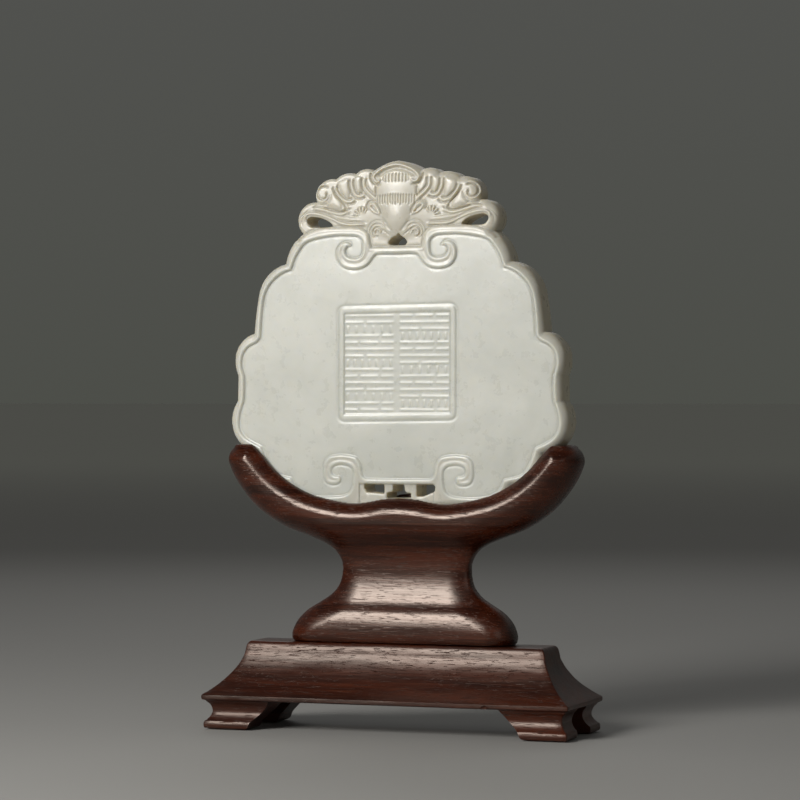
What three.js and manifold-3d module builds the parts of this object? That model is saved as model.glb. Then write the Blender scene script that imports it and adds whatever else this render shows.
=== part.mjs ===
// A carved white jade plaque with an openwork bat finial, standing in a crescent cradle on a waisted
// pedestal, above an ogee-moulded board with four bracket feet. Millimetres, +Z up, the front faces -Y,
// and the origin is on the table under the middle of the board.
import * as THREE from 'three';
import { mergeVertices } from 'three/addons/utils/BufferGeometryUtils.js';
import Module from 'manifold-3d';

const wasm = await Module();
wasm.setup();

// ---- Driving dimensions ----
const FIT_GAP = 0.3; // air left between pieces that rest on each other

const LIP_HALF_LENGTH = 40; // the board's thin lip, the widest part of the stand
const LIP_HALF_DEPTH = 12.5;
const LIP_LOW = 6.15;
const LIP_HIGH = 7.15;
const BOARD_TOP = 18;
const SHOULDER = 15.6; // height where the ogee turns into the rounded shoulder
const OGEE_INSET = 7; // how far the ogee has drawn in at the shoulder
const TOP_INSET = 8.4;

const CAVETTO = 1.8; // deepest inset of the hollow round the feet
const BEAD_INSET = 0.35;
const GAP_TOP = 6; // the cuts between the feet stop just under the lip
const FRONT_GAP = { foot: 30.3, crown: 25 }; // half widths of the cut seen from the front
const END_GAP = { foot: 5, crown: 3 }; // half widths of the cut seen from an end

const CRADLE_SHIFT = 0.8; // the carved cradle sits a little off the board's middle
const CRADLE_HALF_DEPTH = 6.5;
const LIP_INNER = 4.3; // half width of the flat top of the cradle's cross-section
const HORN_TOP = 59.4;
const HORN_HALF_SPAN = 37.7;
const CREST_LOW = 47.2;
const CUSP_TOP = 48.3;
const CREST_DIP_AT = 10.5;
const WAIST = { height: 33.1, halfLength: 13.5, halfDepth: 3.7 };
const FOOT_SWELL = { halfLength: 23.4, halfDepth: 4.4 };

const PLAQUE_THICK = 7.4;
const PLAQUE_EDGE = 1.1; // rounding of the plaque's outer edge
const PLAQUE_BOTTOM = 45.8;
const PLAQUE_TOP = 118.35;
const RIM_WIDTH = 1.7;
const PANEL_DEPTH = 0.6; // how far the panel lies below the rim
const FINIAL_DEPTH = 1.1; // how far the ground behind the bat lies below the rim
const BAR_LOW = 99.1; // the straight bar under the bat
const BAR_HIGH = 100.3;
const SEAL = { x: 0.35, z: 76.4, width: 25, height: 23.8, frame: 1.4, rows: 10 };

const JADE = new THREE.MeshStandardMaterial({ color: '#cdcdbd', roughness: 0.32, metalness: 0 });
const ROSEWOOD = new THREE.MeshStandardMaterial({ color: '#3a150c', roughness: 0.34, metalness: 0 });

// ---- Helpers ----
const v2 = (x, z) => new THREE.Vector2(x, z);

function toSolid(geometry) {
  const bare = geometry.index ? geometry.clone() : geometry;
  bare.deleteAttribute('normal');
  bare.deleteAttribute('uv');
  const merged = mergeVertices(bare, 1e-4);
  const mesh = new wasm.Mesh({
    numProp: 3,
    vertProperties: new Float32Array(merged.attributes.position.array),
    triVerts: new Uint32Array(merged.index.array),
  });
  return new wasm.Manifold(mesh);
}

function toGeometry(solid) {
  const mesh = solid.getMesh();
  const geometry = new THREE.BufferGeometry();
  geometry.setAttribute('position', new THREE.BufferAttribute(mesh.vertProperties.slice(), 3));
  geometry.setIndex(new THREE.BufferAttribute(mesh.triVerts.slice(), 1));
  geometry.computeVertexNormals();
  return geometry;
}

// Rings are lists of [outline point, position along the loft]; these two turn them into space.
const fromTop = ([p, z]) => new THREE.Vector3(p.x, p.y, z);
const fromFront = ([p, y]) => new THREE.Vector3(p.x, y, p.y);

// A closed solid through rings of equal point counts, with flat end caps. Rings run upwards for
// fromTop and from back to front for fromFront.
function loft(rings, place) {
  const count = rings[0].length;
  const faces = [];
  for (let r = 0; r + 1 < rings.length; r += 1) {
    for (let i = 0; i < count; i += 1) {
      const a = r * count + i;
      const b = r * count + ((i + 1) % count);
      faces.push(a, b, b + count, a, b + count, a + count);
    }
  }
  const last = (rings.length - 1) * count;
  for (const [a, b, c] of THREE.ShapeUtils.triangulateShape(rings[0].map(([p]) => p), [])) {
    faces.push(a, c, b);
  }
  for (const [a, b, c] of THREE.ShapeUtils.triangulateShape(rings.at(-1).map(([p]) => p), [])) {
    faces.push(last + a, last + b, last + c);
  }
  const geometry = new THREE.BufferGeometry().setFromPoints(rings.flat().map(place));
  geometry.setIndex(faces);
  return geometry;
}

// A front-view outline (x, z) pushed through the depth from yFront to yBack.
function slab(outline, yFront, yBack, edge = 0) {
  const geometry = new THREE.ExtrudeGeometry(new THREE.Shape(outline), {
    depth: yBack - yFront - 2 * edge,
    bevelEnabled: edge > 0,
    bevelThickness: edge,
    bevelSize: edge,
    bevelOffset: -edge,
    bevelSegments: 3,
    steps: 1,
  });
  geometry.rotateX(Math.PI / 2);
  geometry.translate(0, yBack - edge, 0);
  return geometry;
}

// Points of an arc from one point to another that bulges to the left of travel by the given height.
function arcPoints(from, to, bulge, pieces) {
  if (Math.abs(bulge) < 1e-3) return [from];
  const chord = to.clone().sub(from);
  const half = chord.length() / 2;
  const radius = (half * half + bulge * bulge) / (2 * bulge);
  const side = v2(-chord.y, chord.x).normalize();
  const centre = from.clone().lerp(to, 0.5).addScaledVector(side, bulge - radius);
  const sweep = 2 * Math.atan2(half, radius - bulge);
  const points = [];
  for (let i = 0; i < pieces; i += 1) {
    points.push(from.clone().rotateAround(centre, (-sweep * i) / pieces));
  }
  return points;
}

// A run of lobes: each entry gives the next notch, and how far the arc to it bulges outwards.
function lobedLine(start, lobes) {
  const points = [];
  let from = v2(...start);
  for (const { to, bulge, pieces = 5 } of lobes) {
    const next = v2(...to);
    points.push(...arcPoints(from, next, bulge, pieces));
    from = next;
  }
  points.push(from);
  return points;
}

const mirrored = (points) => points.map((p) => v2(-p.x, p.y)).reverse();

// Moves each point of a line along its normal; positive is to the right of travel.
function offsetLine(points, distance) {
  return points.map((p, i) => {
    const before = points[Math.max(i - 1, 0)];
    const after = points[Math.min(i + 1, points.length - 1)];
    const along = after.clone().sub(before).normalize();
    return v2(p.x + along.y * distance, p.y - along.x * distance);
  });
}

// A raised band of constant width along a line in the front view.
function ribbon(points, width, yFront, yBack) {
  const left = offsetLine(points, -width / 2);
  const right = offsetLine(points, width / 2);
  return toSolid(slab([...right, ...left.reverse()], yFront, yBack));
}

function spiral({ x, z, from, to, outer, inner }, side = 1, steps = 22) {
  const points = [];
  for (let i = 0; i <= steps; i += 1) {
    const t = i / steps;
    const angle = THREE.MathUtils.degToRad(from + (to - from) * t);
    const radius = outer + (inner - outer) * t;
    points.push(v2(side * (x + radius * Math.cos(angle)), z + radius * Math.sin(angle)));
  }
  return points;
}

function curve(points, pieces = 10) {
  return new THREE.SplineCurve(points.map(([x, z]) => v2(x, z))).getPoints(pieces);
}

function bezier(from, c1, c2, to, pieces) {
  return new THREE.CubicBezierCurve(v2(...from), v2(...c1), v2(...c2), v2(...to)).getPoints(pieces);
}

// ---- The board with its four bracket feet ----
function boardProfile() {
  // (inset from the lip, height), bottom to top
  const feet = [
    [0.8, 0],
    [BEAD_INSET, 0.4],
    [BEAD_INSET, 1.4],
    [0.8, 1.8],
    [1.5, 2.7],
    [CAVETTO, 3.8],
    [1.5, 4.8],
    [0.8, 5.6],
    [0, LIP_LOW],
  ];
  const ogee = bezier([0, LIP_HIGH], [3.6, 9.5], [6.3, 13], [OGEE_INSET, SHOULDER], 8);
  const shoulder = bezier([OGEE_INSET, SHOULDER], [7.3, 17], [7.6, 17.8], [TOP_INSET, BOARD_TOP], 4);
  return [...feet, ...ogee.map((p) => [p.x, p.y]), ...shoulder.slice(1).map((p) => [p.x, p.y])];
}

function boardRing(inset, z) {
  const x = LIP_HALF_LENGTH - inset;
  const y = LIP_HALF_DEPTH - inset;
  return [v2(-x, -y), v2(x, -y), v2(x, y), v2(-x, y)].map((p) => [p, z]);
}

// The cut between two feet, as an outline of (distance across, height).
function gapOutline({ foot, crown }) {
  const rise = foot - crown;
  const right = [
    v2(foot + rise, -1),
    v2(foot, 0),
    v2(foot - rise * 0.2, 0.27 * GAP_TOP),
    v2(foot - rise * 0.53, 0.53 * GAP_TOP),
    v2(foot - rise * 0.8, 0.77 * GAP_TOP),
    v2(crown, GAP_TOP),
  ];
  return [...right, ...mirrored(right)];
}

function base() {
  const block = toSolid(loft(boardProfile().map((section) => boardRing(...section)), fromTop));
  const reach = LIP_HALF_LENGTH + 5;
  const throughDepth = toSolid(slab(gapOutline(FRONT_GAP), -reach, reach));
  const endCut = slab(gapOutline(END_GAP), -reach, reach);
  endCut.rotateZ(Math.PI / 2);
  return block.subtract(throughDepth).subtract(toSolid(endCut));
}

// ---- The crescent cradle and its waisted pedestal ----
// The cradle's front view, drawn in by an inset that falls off to nothing at the middle of its depth.
// The right half runs from the middle of the underside round the horn to the cusp.
function crescentOutline(inset) {
  const top = HORN_TOP - inset;
  const low = CREST_LOW - inset;
  const span = HORN_HALF_SPAN - inset;
  const slant = inset * 0.7;
  const belly = [20, 40.2 + inset];
  const hip = [span, 57];
  const dip = [CREST_DIP_AT, low];
  const under = bezier([0, 40.5 + inset], [10, 40.2 + inset], [17, 39.6 + inset], belly, 5);
  const sweep = bezier(belly, [27.5 - slant, 42 + inset], [34 - slant, 48.6 + slant], hip, 12);
  const tip = bezier(hip, [span + 0.5, 58.8 - inset], [span - 0.3, top], [span - 1.9, top], 4);
  const crest = bezier([33 + inset * 0.2, top], [27.6 + slant, 53.2 - slant], [18.6, low], dip, 12);
  const cusp = bezier(dip, [7, low], [3.8, CUSP_TOP - inset], [0, CUSP_TOP - inset], 6);
  const right = [...under, ...sweep.slice(1), ...tip.slice(1), ...crest, ...cusp.slice(1)];
  return [...right, ...mirrored(right).slice(1, -1)];
}

function crescent() {
  // (depth, inset), so that the front and back roll over
  const half = [
    [CRADLE_HALF_DEPTH, 2],
    [CRADLE_HALF_DEPTH - 0.3, 1.2],
    [CRADLE_HALF_DEPTH - 1.1, 0.4],
    [LIP_INNER, 0],
  ];
  const layers = [...half.map(([y, inset]) => [-y, inset]), ...half.toReversed()].toReversed();
  return toSolid(loft(layers.map(([y, inset]) => crescentOutline(inset).map((p) => [p, y])), fromFront));
}

// Half length and half depth of the pedestal at each height, bottom to top.
function pedestalSections() {
  const low = bezier([FOOT_SWELL.halfLength, 18.3], [23.3, 22.4], [21.8, 24.6], [18, 26.2], 6);
  const rise = bezier([18, 26.2], [15, 27.5], [13.5, 30], [WAIST.halfLength, WAIST.height], 6);
  const flare = bezier([WAIST.halfLength, WAIST.height], [13.5, 36.6], [15.6, 39], [20.5, 40.6], 6);
  const crown = [v2(22, 42.5)];
  const depthAt = (z) => {
    const swell = THREE.MathUtils.smoothstep(z, 22, WAIST.height);
    const flareOut = THREE.MathUtils.smoothstep(z, WAIST.height, 42.5);
    const lower = THREE.MathUtils.lerp(FOOT_SWELL.halfDepth, WAIST.halfDepth, swell);
    return THREE.MathUtils.lerp(lower, CRADLE_HALF_DEPTH - 0.4, flareOut);
  };
  return [...low, ...rise.slice(1), ...flare.slice(1), ...crown].map((p) => [p.x, depthAt(p.y), p.y]);
}

// A rounded rectangle, as a squared-off ellipse.
function pedestalRing(halfLength, halfDepth, z) {
  const corner = Math.min(halfDepth * 0.8, 3);
  const points = [];
  for (const [sx, sy, start] of [[1, 1, 0], [-1, 1, 90], [-1, -1, 180], [1, -1, 270]]) {
    for (let i = 0; i <= 4; i += 1) {
      const angle = THREE.MathUtils.degToRad(start + (i / 4) * 90);
      const x = sx * (halfLength - corner) + corner * Math.cos(angle);
      const y = sy * (halfDepth - corner) + corner * Math.sin(angle);
      points.push([v2(x, y), z]);
    }
  }
  return points;
}

function cradle() {
  const pedestal = loft(pedestalSections().map((section) => pedestalRing(...section)), fromTop);
  const floor = bezier([0, 45.4], [20, 45], [31, 45.2], [36.4, 59.8], 16);
  const groove = [...floor, v2(36.4, 70)];
  const halfWidth = PLAQUE_THICK / 2 + FIT_GAP;
  const slot = slab([...groove, ...mirrored(groove).slice(0, -1)], -halfWidth, halfWidth);
  slot.translate(-CRADLE_SHIFT, 0, 0);
  return toSolid(pedestal).add(crescent()).subtract(toSolid(slot));
}

// ---- The jade plaque ----
const LOBES = [
  { to: [5.2, 116.3], bulge: 0.35 },
  { to: [9.2, 115.7], bulge: 0.7 },
  { to: [13.6, 114.7], bulge: 0.65 },
  { to: [17.9, 109.95], bulge: 1.9, pieces: 6 },
  { to: [21, 103.4], bulge: 2.6, pieces: 8 },
  { to: [24.8, 97.1], bulge: 0.75 },
  { to: [30.9, 90.8], bulge: 1.35, pieces: 6 },
  { to: [31.95, 82.6], bulge: 0.12, pieces: 2 },
  { to: [36.2, 78.2], bulge: 0.85 },
  { to: [35.65, 73.7], bulge: 0.35, pieces: 4 },
  { to: [35.75, 68.4], bulge: 0 },
  { to: [31.8, 57.4], bulge: 3.1, pieces: 9 },
  { to: [25.2, 50.7], bulge: 2, pieces: 6 },
  { to: [19.5, 46.5], bulge: 1.1, pieces: 5 },
  { to: [0, PLAQUE_BOTTOM], bulge: 0, pieces: 1 },
];
const SHOULDER_NOTCH = 5; // the lobes from here on frame the sunken panel

function plaqueOutline() {
  const right = lobedLine([0, PLAQUE_TOP], LOBES);
  return [...right, ...mirrored(right).slice(1, -1)].reverse();
}

function panelOutline() {
  const start = LOBES[SHOULDER_NOTCH - 1].to;
  const side = offsetLine(lobedLine(start, LOBES.slice(SHOULDER_NOTCH, -2)), RIM_WIDTH);
  const top = [v2(0, BAR_LOW), v2(7.4, BAR_LOW), v2(7.4, 101.8), v2(8.5, 102.9), v2(14, 102.9)];
  const foot = [v2(21.8, 49.2), v2(17, 48.1), v2(8.3, 48.3), v2(8.3, 52.1), v2(0, 52.1)];
  const right = [...top, ...side.slice(1), ...foot];
  return [...right, ...mirrored(right).slice(1, -1)].reverse();
}

function finialGround() {
  const crown = offsetLine(lobedLine([0, PLAQUE_TOP], LOBES.slice(0, 4)), 0.9);
  const right = [...crown, v2(15.6, 108.2), v2(12, 104.4), v2(6.6, 104), v2(5.8, BAR_HIGH), v2(0, BAR_HIGH)];
  return [...right, ...mirrored(right).slice(1, -1)].reverse();
}

const FRONT = -PLAQUE_THICK / 2;
const solidSlab = (outline, yFront, yBack) => toSolid(slab(outline, yFront, yBack));

// A shallow dome that stands on the ground behind the bat.
function dome(x, z, halfLength, halfHeight, rise) {
  const ball = new THREE.SphereGeometry(1, 16, 10);
  ball.scale(halfLength, rise, halfHeight);
  ball.translate(x, FRONT + FINIAL_DEPTH, z);
  return toSolid(ball);
}

function batRelief() {
  const back = FRONT + FINIAL_DEPTH + 0.2;
  const band = (points, width, drop) => ribbon(points, width, FRONT + drop, back);
  const forms = [
    dome(0, 112, 4.4, 2.2, 1),
    dome(0, 107.3, 3.6, 3.4, 1.05),
  ];
  for (const side of [-1, 1]) {
    const place = (points) => curve(points.map(([x, z]) => [side * x, z]), 10);
    forms.push(
      band(place([[0, 117.5], [3.2, 116.4], [5.1, 114.8], [4.8, 113.9], [3.9, 114.1]]), 0.8, 0),
      band(place([[5.1, 111.2], [6.5, 112.4], [7, 114.3]]), 0.7, 0.2),
      band(place([[8.3, 111.4], [9.4, 112.9], [9.7, 114.5]]), 0.7, 0.2),
      band(place([[10.6, 110.4], [12.6, 111.6], [13.9, 113.7]]), 0.7, 0.2),
      band(place([[6.2, 106.6], [10, 106.9], [14.5, 107.6], [18.6, 108.8]]), 1, 0.1),
      band(place([[7, 104.9], [11, 105.2], [14.5, 106.1], [18.5, 107.3]]), 1, 0.1),
      band(spiral({ x: 16, z: 111.7, from: 120, to: -330, outer: 1.7, inner: 0.5 }, side), 0.7, 0.1),
      band(spiral({ x: 4, z: 102.9, from: 200, to: -200, outer: 1.5, inner: 0.5 }, side), 0.6, 0.3),
      dome(side * 4.9, 109, 0.8, 1.2, 0.9),
      dome(side * 7.6, 108.6, 1.6, 1.5, 0.7),
    );
  }
  return forms;
}

function sealFrame() {
  const { x, z, width, height, frame, rows } = SEAL;
  const floor = FRONT + PANEL_DEPTH;
  const block = (cx, cz, w, h, rise) => {
    const box = new THREE.BoxGeometry(w, rise + 0.2, h);
    box.translate(cx, floor + (0.2 - rise) / 2, cz);
    return toSolid(box);
  };
  const ring = block(x, z, width, height, 0.3);
  const middle = new THREE.BoxGeometry(width - 2 * frame, 2, height - 2 * frame);
  middle.translate(x, floor - 1, z);
  const forms = [ring.subtract(toSolid(middle))];
  const pitch = (height - 2 * frame - 1) / rows;
  for (let row = 0; row < rows; row += 1) {
    for (const column of [-1, 1]) {
      forms.push(block(x + column * 5.1, z + (row - (rows - 1) / 2) * pitch, 8.6, pitch * 0.45, 0.25));
    }
  }
  return forms;
}

function plaque() {
  const half = PLAQUE_THICK / 2;
  const through = (outline) => solidSlab(outline, -half - 1, half + 1);
  const polygon = (points) => points.map(([x, z]) => v2(x, z));
  let body = toSolid(slab(plaqueOutline(), -half, half, PLAQUE_EDGE));
  body = body.subtract(solidSlab(panelOutline(), FRONT - 1, FRONT + PANEL_DEPTH));
  body = body.subtract(solidSlab(finialGround(), FRONT - 1, FRONT + FINIAL_DEPTH));

  const floor = FRONT + PANEL_DEPTH + 0.2;
  const topScroll = { x: 9.7, z: 99.7, from: 180, to: 540 + 180, outer: 2.9, inner: 0.6 };
  const lowScroll = { x: 13.2, z: 53.3, from: 180, to: -360, outer: 4, inner: 0.7 };
  const raised = [...sealFrame()];
  for (const side of [-1, 1]) {
    raised.push(ribbon(spiral(topScroll, side), 1.2, FRONT, floor));
    raised.push(ribbon(spiral(lowScroll, side), 1.1, FRONT, floor));
  }
  body = [...raised, ...batRelief()].reduce((whole, form) => whole.add(form), body);

  const arch = [[-2.4, 100.9], [2.4, 100.9], [1.7, 102.2], [0, 103.3], [-1.7, 102.2]];
  const tee = [[-2.6, 48.4], [2.6, 48.4], [2.6, 49.3], [1.2, 49.7], [1.2, 51], [-1.2, 51], [-1.2, 49.7], [-2.6, 49.3]];
  body = body.subtract(through(polygon(arch))).subtract(through(polygon(tee)));
  for (const side of [-1, 1]) {
    const wingGap = [[14.2, 104.6], [19.6, 104.8], [20.2, 106.4], [19.2, 107], [16, 105.7]];
    const footGap = [[3.1, 49.2], [7.9, 49.8], [7.9, 50.8], [3.1, 51]];
    const placed = (points) => polygon(points.map(([x, z]) => [side * x, z]));
    body = body.subtract(through(placed(side > 0 ? wingGap : [...wingGap].reverse())));
    body = body.subtract(through(placed(side > 0 ? footGap : [...footGap].reverse())));
  }
  return body;
}

// ---- Assembly ----
function piece(name, solid, material) {
  const mesh = new THREE.Mesh(toGeometry(solid), material);
  mesh.name = name;
  return mesh;
}

const plaqueOnStand = new THREE.Group();
plaqueOnStand.name = 'jade_plaque_on_stand';
const cradlePiece = piece('cradle', cradle(), ROSEWOOD);
cradlePiece.position.set(CRADLE_SHIFT, 0, 0);
plaqueOnStand.add(piece('base', base(), ROSEWOOD), cradlePiece, piece('jade_plaque', plaque(), JADE));

export default plaqueOnStand;
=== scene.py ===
"""A carved white jade plaque with a bat finial, in its crescent rosewood cradle on a moulded board.

Lengths are in millimetres in the stone's and the stand's own front view (x to the right, z up) and
become metres where a mesh is made; floor, lamps and camera are in metres. The front faces -Y.
"""

import math

import bmesh
import bpy
import numpy as np
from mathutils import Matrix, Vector, noise


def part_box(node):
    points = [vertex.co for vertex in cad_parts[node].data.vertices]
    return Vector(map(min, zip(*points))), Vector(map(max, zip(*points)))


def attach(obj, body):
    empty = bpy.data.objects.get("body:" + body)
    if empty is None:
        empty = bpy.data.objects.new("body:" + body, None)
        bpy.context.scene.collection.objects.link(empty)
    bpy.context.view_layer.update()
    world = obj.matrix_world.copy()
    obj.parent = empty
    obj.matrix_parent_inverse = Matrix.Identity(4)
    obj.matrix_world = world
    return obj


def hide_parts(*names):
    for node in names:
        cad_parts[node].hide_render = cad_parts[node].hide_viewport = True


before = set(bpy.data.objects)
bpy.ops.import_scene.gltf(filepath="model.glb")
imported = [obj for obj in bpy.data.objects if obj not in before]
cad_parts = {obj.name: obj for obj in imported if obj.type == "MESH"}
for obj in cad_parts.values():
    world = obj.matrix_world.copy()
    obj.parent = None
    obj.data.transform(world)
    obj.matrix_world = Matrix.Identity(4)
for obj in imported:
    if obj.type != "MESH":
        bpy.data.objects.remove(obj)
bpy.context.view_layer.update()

MM = 0.001
COARSE = 1.0
PLAQUE_TRIANGLES = 190000
STAND_TRIANGLES = 150000  # for the cradle, and for the board


# ---- The frame's sizes, in millimetres ----
def box_mm(node):
    """The lowest and highest corner of a CAD node."""
    low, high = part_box(node)
    return np.array(low) / MM, np.array(high) / MM


PLAQUE_LOW, PLAQUE_HIGH = box_mm("jade_plaque")
BASE_HIGH = box_mm("base")[1]
CRADLE_HIGH = box_mm("cradle")[1]
PLAQUE_HALF_THICK = PLAQUE_HIGH[1]
PLAQUE_TOP = PLAQUE_HIGH[2]
PLAQUE_BOTTOM = PLAQUE_LOW[2]
BOARD_TOP = BASE_HIGH[2]
CRADLE_HALF_DEPTH = CRADLE_HIGH[1]


# ---- Curves ----
def smooth_curve(points, step=0.25):
    """A smooth line (Catmull-Rom) through the points."""
    points = np.asarray(points, float)
    ends = [2 * points[0] - points[1]], [2 * points[-1] - points[-2]]
    padded = np.vstack([ends[0], points, ends[1]])
    pieces = []
    for a, b, c, d in zip(padded, padded[1:], padded[2:], padded[3:]):
        count = max(2, math.ceil(np.linalg.norm(c - b) / step))
        t = np.linspace(0, 1, count, endpoint=False)[:, None]
        cubic = 3 * b - a - 3 * c + d
        square = 2 * a - 5 * b + 4 * c - d
        pieces.append(0.5 * (2 * b + (c - a) * t + square * t**2 + cubic * t**3))
    return np.vstack([*pieces, points[-1:]])


def joined(*runs):
    """Several smooth runs with a corner where each meets the next."""
    curves = [smooth_curve(run) for run in runs]
    return np.vstack([curves[0], *[c[1:] for c in curves[1:]]])


def arc(start, end, bulge, step=0.25):
    """An arc that bulges to the left of travel by the given height."""
    start, end = np.asarray(start, float), np.asarray(end, float)
    chord = end - start
    length = np.linalg.norm(chord)
    count = max(2, math.ceil(length / step))
    t = np.linspace(0, 1, count + 1)[:, None]
    if abs(bulge) < 1e-3:
        return start + chord * t
    half = length / 2
    radius = (half**2 + bulge**2) / (2 * bulge)
    left = np.array([-chord[1], chord[0]]) / length
    centre = (start + end) / 2 + left * (bulge - radius)
    sweep = 2 * math.atan2(half, radius - bulge)
    angle = -sweep * t[:, 0]
    spoke = start - centre
    turned_x = spoke[0] * np.cos(angle) - spoke[1] * np.sin(angle)
    turned_z = spoke[0] * np.sin(angle) + spoke[1] * np.cos(angle)
    return centre + np.column_stack([turned_x, turned_z])


def spiral(centre, radii, angles, side=1, count=60):
    """A line that turns about a centre while its radius changes; side -1 gives its mirror image."""
    t = np.linspace(0, 1, count)
    radius = radii[0] + (radii[1] - radii[0]) * t
    angle = np.radians(angles[0] + (angles[1] - angles[0]) * t)
    x = centre[0] + radius * np.cos(angle)
    return np.column_stack([side * x, centre[1] + radius * np.sin(angle)])


def flipped(points, side, shift=0.0):
    """The points themselves for side 1, or their mirror image moved by the shift for side -1."""
    points = np.asarray(points, float)
    return points if side > 0 else points * [-1, 1] + [shift, 0]


def both_halves(right, left=None):
    """A closed loop from its right half, which runs from the top of the middle to the bottom."""
    mirror = flipped(right if left is None else left, -1)
    return np.vstack([right, mirror[::-1][1:-1]])


def both_ways(points):
    """A line over the middle, from its right half, which starts at the middle."""
    right = np.asarray(points, float)
    return np.vstack([flipped(right, -1)[::-1], right[1:]])


def on_side(points, side):
    """A smooth curve through points given for the right, or its mirror image for side -1."""
    return flipped(smooth_curve(points), side)


def moved(points, across, up):
    return [(x + across, z + up) for x, z in points]


def smooth_step(value, low, high):
    """0 up to the low value, 1 from the high one, and a smooth rise between them."""
    t = np.clip((value - low) / (high - low), 0, 1)
    return t * t * (3 - 2 * t)


def soft_min(a, b, blend):
    """The lower of two heights, rounded over where they meet."""
    h = np.clip(0.5 + 0.5 * (b - a) / blend, 0, 1)
    return b + (a - b) * h - blend * h * (1 - h)


def bell(t):
    """1 at zero, falling smoothly to 0 at -1 and at 1."""
    return np.clip(1 - t * t, 0, None) ** 2


# ---- Carving on a grid ----
def graded(stops):
    """Grid positions from (start, end, spacing) stretches that follow each other."""
    pieces = []
    for start, end, spacing in stops:
        count = math.ceil((end - start) / (spacing * COARSE))
        pieces.append(np.linspace(start, end, count, endpoint=False))
    return np.concatenate([*pieces, [stops[-1][1]]])


class Relief:
    """A front view as a grid, with a height above or below the flat for every point."""

    def __init__(self, xs, zs):
        self.xs, self.zs = xs, zs
        self.x, self.z = np.meshgrid(xs, zs)
        self.height = np.zeros(self.x.shape)

    def window(self, low, high):
        """The rows and columns that cover a box."""
        rows = slice(*np.searchsorted(self.zs, [low[1], high[1]]))
        cols = slice(*np.searchsorted(self.xs, [low[0], high[0]]))
        return rows, cols

    def near(self, line, reach):
        """The part of the grid close to a line, and for its points the distance to the line, the
        place along it from 0 to 1, and the closest point on it."""
        line = np.asarray(line, float)
        window = self.window(line.min(0) - reach, line.max(0) + reach)
        x, z = self.x[window], self.z[window]
        xs, zs = self.xs[window[1]], self.zs[window[0]]
        distance = np.full(x.shape, float(reach))
        place = np.zeros(x.shape)
        foot_x, foot_z = x.copy(), z.copy()
        steps = np.diff(line, axis=0)
        lengths = np.hypot(*steps.T)
        run = np.concatenate([[0], np.cumsum(lengths)]) / lengths.sum()
        for k, ((ax, az), (dx, dz)) in enumerate(zip(line, steps)):
            low_x, high_x = sorted((ax, ax + dx))
            low_z, high_z = sorted((az, az + dz))
            cols = slice(*np.searchsorted(xs, [low_x - reach, high_x + reach]))
            rows = slice(*np.searchsorted(zs, [low_z - reach, high_z + reach]))
            px, pz = x[rows, cols] - ax, z[rows, cols] - az
            t = np.clip((px * dx + pz * dz) / max(dx * dx + dz * dz, 1e-12), 0, 1)
            gap_x, gap_z = px - t * dx, pz - t * dz
            found = np.hypot(gap_x, gap_z)
            closer = found < distance[rows, cols]
            distance[rows, cols][closer] = found[closer]
            place[rows, cols][closer] = (run[k] + t * (run[k + 1] - run[k]))[closer]
            foot_x[rows, cols][closer] = (ax + t * dx)[closer]
            foot_z[rows, cols][closer] = (az + t * dz)[closer]
        return window, distance, place, foot_x, foot_z

    def inside(self, loop):
        """Which grid points lie inside a closed loop."""
        found = np.zeros(self.x.shape, bool)
        for (ax, az), (bx, bz) in zip(loop, np.roll(loop, -1, axis=0)):
            low, high = sorted((az, bz))
            rows = slice(*np.searchsorted(self.zs, [low, high]))
            if rows.start == rows.stop:
                continue
            cross = ax + (self.zs[rows] - az) / (bz - az) * (bx - ax)
            found[rows] ^= self.xs[None, :] < cross[:, None]
        return found

    def signed(self, loop, reach):
        """Distance to a closed loop, positive inside it, and the closest point on it."""
        closed = np.vstack([loop, loop[:1]])
        window, near, _, near_x, near_z = self.near(closed, reach)
        distance = np.full(self.x.shape, float(reach))
        foot_x, foot_z = self.x.copy(), self.z.copy()
        distance[window], foot_x[window], foot_z[window] = near, near_x, near_z
        return np.where(self.inside(loop), distance, -distance), foot_x, foot_z

    def stroke(self, line, width, rise, fade=(0.0, 0.0)):
        """Raises (or sinks) a rounded line of the given half width; fade thins its two ends."""
        window, distance, place, _, _ = self.near(line, width)
        strength = rise * bell(distance / width)
        if fade[0]:
            strength = strength * smooth_step(place, 0, fade[0])
        if fade[1]:
            strength = strength * smooth_step(1 - place, 0, fade[1])
        self.height[window] += strength

    def finger(self, line):
        """A thin ridge with a groove cut along each side of it."""
        ridge, gap, trench = 0.26, 0.52, 0.34  # half widths, and the grooves' distance from the ridge
        rise, cut = 0.09, 0.3
        window, distance, place, _, _ = self.near(line, gap + trench)
        ends = smooth_step(place, 0, 0.1) * smooth_step(1 - place, 0, 0.1)
        profile = rise * bell(distance / ridge) - cut * bell((distance - gap) / trench)
        self.height[window] += profile * ends

    def pillow(self, loop, rise, roll):
        """Raises everything inside a loop, rolling off over the last stretch to its edge."""
        distance, _, _ = self.signed(loop, roll)
        t = np.clip(distance / roll, 0, 1)
        self.height += rise * np.sqrt(np.clip(1 - (1 - t) ** 2, 0, None))

    def dome(self, centre, radii, rise):
        """Raises a soft oval swelling."""
        reach = ((self.x - centre[0]) / radii[0]) ** 2 + ((self.z - centre[1]) / radii[1]) ** 2
        self.height += rise * np.clip(1 - reach, 0, None) ** 2


def rolled(distance, radius):
    """How far a surface has dropped this close to a rounded edge."""
    inset = np.clip(radius - distance, 0, radius)
    return radius - np.sqrt(radius**2 - inset**2)


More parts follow.
